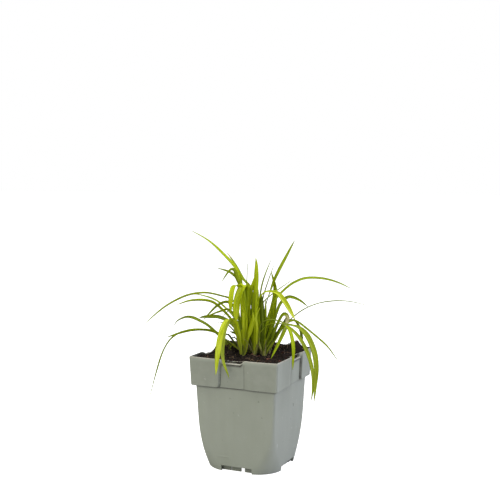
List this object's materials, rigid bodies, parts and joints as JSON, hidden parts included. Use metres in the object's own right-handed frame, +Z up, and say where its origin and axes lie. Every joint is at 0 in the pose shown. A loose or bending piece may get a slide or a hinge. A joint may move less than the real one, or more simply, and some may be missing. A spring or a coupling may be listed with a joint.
{
  "type": "potted liriope",
  "caption": "Young clump of grass-like liriope with arching strap leaves, growing in peat soil in a square moulded nursery pot.",
  "frame": {"origin": "on the ground under the middle of the pot", "axes": "+Z up; -Y out of the front of the pot, whose folded collar shows its proud panel at -X; +X to its right"},
  "size_m": [0.1973, 0.1107, 0.2232],
  "materials": {
    "pot_plastic": "matte recycled plastic, moulded",
    "peat": "loose damp peat and bark, rough",
    "leaf_lime": "young leaf, satin",
    "leaf_green": "leaf, satin",
    "leaf_dark": "older leaf, satin"
  },
  "bodies": {
    "root": {"pot": "pot_plastic", "soil": "peat", "shoot_front_left": "leaf_lime", "shoot_left": "leaf_green", "shoot_left_back": "leaf_dark", "shoot_back_left": "leaf_green", "shoot_middle": "leaf_lime", "shoot_right": "leaf_green", "shoot_right_back": "leaf_dark", "shoot_right_front": "leaf_green", "shoot_back": "leaf_dark"}
  },
  "joints": []
}
